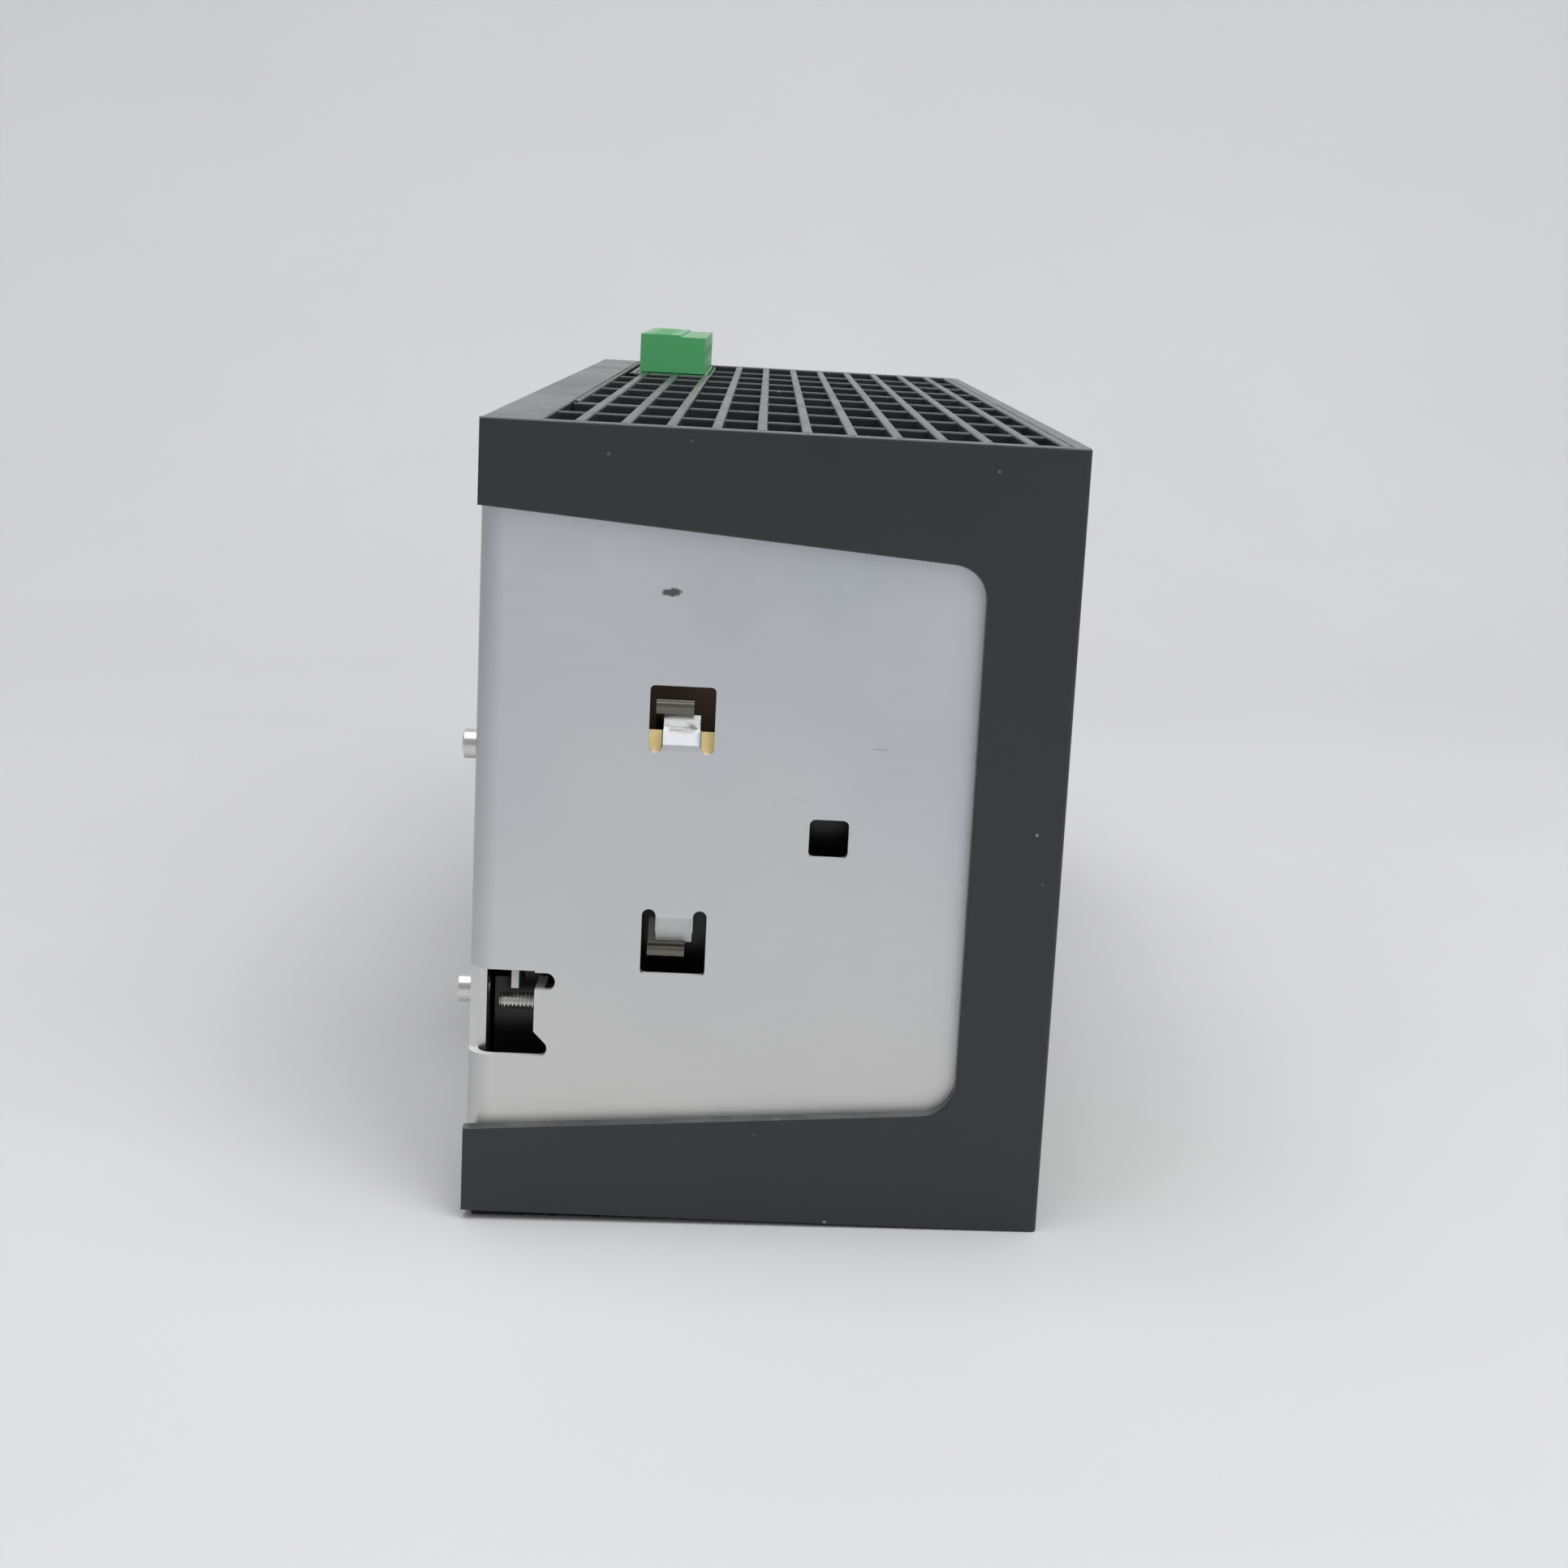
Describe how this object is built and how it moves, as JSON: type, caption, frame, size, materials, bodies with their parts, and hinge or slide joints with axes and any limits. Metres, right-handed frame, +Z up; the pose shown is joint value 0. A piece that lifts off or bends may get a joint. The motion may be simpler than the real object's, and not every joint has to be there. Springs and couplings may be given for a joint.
{
  "type": "din rail power supply",
  "caption": "Wide DIN rail power supply: bent aluminium chassis in charcoal mouldings, vented top and bottom, pluggable terminals and sprung rail latches.",
  "frame": {"origin": "under the middle of the part, on the surface that it stands on", "axes": "+X to the right seen from the front, +Y towards the rail, +Z up"},
  "size_m": [0.288, 0.1046, 0.1407],
  "materials": {
    "aluminium_sheet": "satin rolled sheet",
    "charcoal": "fine matte moulded",
    "spring_steel": "dull spring steel",
    "package_black": "moulded epoxy",
    "pad_tan": "smooth silicone pad",
    "card_tan": "pressed board",
    "film_black": "thin film",
    "zinc_steel": "zinc plated",
    "board_green": "solder resist",
    "capacitor_sleeve": "heat shrink sleeve",
    "film_box": "moulded box",
    "ferrite": "sintered",
    "bobbin": "moulded",
    "tape_yellow": "polyester tape",
    "core_green": "coated core",
    "enamel_copper": "enamelled wire",
    "glass_tube": "clear",
    "sink_aluminium": "extruded",
    "terminal_green": "moulded polyamide",
    "terminal_steel": "zinc plated",
    "tinned": "tin plated",
    "lamp_clear": "clear light pipe",
    "adjuster_blue": "moulded",
    "rotor_white": "moulded",
    "bracket_metal": "die cast",
    "latch_plastic": "moulded"
  },
  "bodies": {
    "housing": {"adjuster_body": "adjuster_blue", "board_screws": "zinc_steel", "board_standoffs": "zinc_steel", "bottom_grille": "charcoal", "bracket_screws": "zinc_steel", "bulk_capacitors": "capacitor_sleeve", "chassis": "aluminium_sheet", "clamp_springs": "spring_steel", "earth_nut": "zinc_steel", "earth_stud": "zinc_steel", "film_capacitor": "film_box", "filter_choke_core": "core_green", "filter_choke_windings": "enamel_copper", "front_board": "board_green", "front_panel": "charcoal", "fuse": "glass_tube", "fuse_clips": "tinned", "heat_sink": "sink_aluminium", "input_header": "terminal_green", "input_header_pins": "tinned", "insulating_card": "card_tan", "insulating_pads": "pad_tan", "insulation_film": "film_black", "main_board": "board_green", "output_capacitors": "capacitor_sleeve", "output_choke_core": "core_green", "output_choke_winding": "enamel_copper", "output_header": "terminal_green", "output_header_pins": "tinned", "output_lead_board": "board_green", "plug_insert": "charcoal", "power_packages": "package_black", "rail_bracket_left": "bracket_metal", "rail_bracket_right": "bracket_metal", "rear_nut_strip": "zinc_steel", "rear_screws": "zinc_steel", "side_frame_left": "charcoal", "side_frame_right": "charcoal", "sink_packages": "package_black", "status_lamps": "lamp_clear", "top_grille": "charcoal", "transformer_bobbin": "bobbin", "transformer_core": "ferrite", "transformer_winding": "tape_yellow"},
    "latch_left": {"latch_foot_left": "latch_plastic", "latch_spring_left": "spring_steel"},
    "latch_right": {"latch_foot_right": "latch_plastic", "latch_spring_right": "spring_steel"},
    "adjuster": {"adjuster_rotor": "rotor_white"},
    "output_plug": {"output_plug": "terminal_green", "output_plug_screws": "terminal_steel", "output_plug_clamps": "terminal_steel"},
    "input_plug": {"input_plug": "terminal_green", "input_plug_screws": "terminal_steel", "input_plug_clamps": "terminal_steel"}
  },
  "joints": [
    {"name": "latch_slide_left", "type": "slide", "parent": "housing", "child": "latch_left", "axis": [0, 0, -1], "range_m": [0, 0.004], "stiffness_N_per_m": 900, "springref_m": -0.003, "deforming": ["latch_spring_left"]},
    {"name": "latch_slide_right", "type": "slide", "parent": "housing", "child": "latch_right", "axis": [0, 0, -1], "range_m": [0, 0.004], "stiffness_N_per_m": 900, "springref_m": -0.003, "deforming": ["latch_spring_right"]},
    {"name": "adjuster_turn", "type": "hinge", "parent": "housing", "child": "adjuster", "pos_m": [-0.096, -0.0463, 0.1056], "axis": [0, -1, 0], "range_deg": [-135, 135]},
    {"name": "output_plug_pull", "type": "slide", "parent": "housing", "child": "output_plug", "axis": [0, 0, 1], "range_m": [0, 0.012]},
    {"name": "input_plug_pull", "type": "slide", "parent": "housing", "child": "input_plug", "axis": [0, -1, 0], "range_m": [0, 0.02]}
  ]
}
